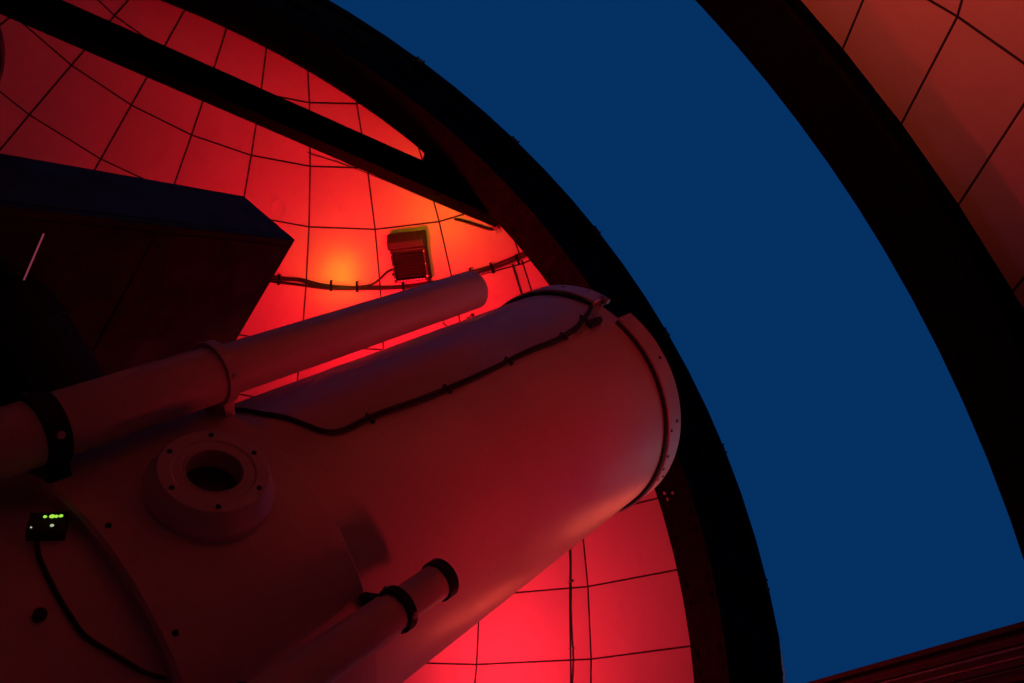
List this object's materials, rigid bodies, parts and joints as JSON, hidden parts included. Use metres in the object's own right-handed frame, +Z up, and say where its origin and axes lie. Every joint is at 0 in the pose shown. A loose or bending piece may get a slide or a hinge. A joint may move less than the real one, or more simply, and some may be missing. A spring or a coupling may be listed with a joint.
{
  "type": "observatory dome with equatorial telescope",
  "caption": "Round building with a turning dome of flat panels, an open slit between arch girders, and a telescope on a mount.",
  "frame": {"origin": "on the ground at the centre of the round building", "axes": "+Z up along the dome's turning axis; -Y towards the slit and the entrance door"},
  "size_m": [8.2, 8.2, 6.8516],
  "materials": {
    "wall_render": "matt",
    "concrete": "matt",
    "outer_paint": "satin",
    "dome_panel": "matt",
    "sill_panel": "satin",
    "dark_steel": "satin",
    "box_plastic": "matt",
    "cable_rubber": "matt",
    "mirror": "polished",
    "tube_paint": "satin",
    "mount_paint": "satin"
  },
  "bodies": {
    "building": {"floor_slab": "concrete", "wall_front_left": "wall_render", "wall_front_right": "wall_render", "wall_side_left": "wall_render", "wall_side_right": "wall_render", "wall_rear_left": "wall_render", "wall_rear_right": "wall_render", "wall_over_door": "wall_render", "door_frame": "dark_steel", "entrance_door": "outer_paint", "track_ring": "dark_steel", "pier": "concrete", "polar_housing": "mount_paint"},
    "dome": {"base_ring": "dark_steel", "shell_east_1": "dome_panel", "shell_east_2": "dome_panel", "shell_east_3": "dome_panel", "shell_east_4": "dome_panel", "shell_east_5": "dome_panel", "shell_west_1": "dome_panel", "shell_west_2": "dome_panel", "shell_west_3": "dome_panel", "shell_west_4": "dome_panel", "shell_west_5": "dome_panel", "arch_east": "dark_steel", "arch_west": "dark_steel", "rear_strip": "dome_panel", "slit_header": "dark_steel", "slit_sill": "sill_panel", "brace_east": "dark_steel", "brace_west": "dark_steel", "wall_box_louvre": "box_plastic", "wall_box_hood": "box_plastic", "cable_run": "cable_rubber", "lower_shutter": "outer_paint", "upper_shutter": "outer_paint"},
    "mount_head": {"polar_head": "mount_paint", "declination_housing": "mount_paint", "counterweight": "mount_paint"},
    "telescope": {"saddle": "mount_paint", "front_tube": "tube_paint", "front_collar": "tube_paint", "rear_tube": "tube_paint", "centre_section": "tube_paint", "side_port": "tube_paint", "mirror_cell": "mount_paint", "primary_mirror": "mirror", "secondary_spider": "mount_paint", "guide_scope": "tube_paint", "guide_ring_front": "tube_paint", "guide_ring_rear": "mount_paint", "finder_scope": "tube_paint", "finder_ring_front": "mount_paint", "finder_ring_rear": "mount_paint", "tube_cable": "cable_rubber"}
  },
  "joints": [
    {"name": "dome_rotation", "type": "hinge", "parent": "building", "child": "dome", "pos_m": [0, 0, 2.7], "axis": [0, 0, 1], "continuous": true},
    {"name": "polar_axis", "type": "hinge", "parent": "building", "child": "mount_head", "pos_m": [-0.40626, 0.00291, 3.15129], "axis": [0.4956, -0.6099, 0.6184], "range_deg": [-90, 90]},
    {"name": "declination_axis", "type": "hinge", "parent": "mount_head", "child": "telescope", "pos_m": [-0.45162, -0.80472, 2.39118], "axis": [-0.0409, -0.7276, -0.6848], "range_deg": [-60, 60]}
  ]
}
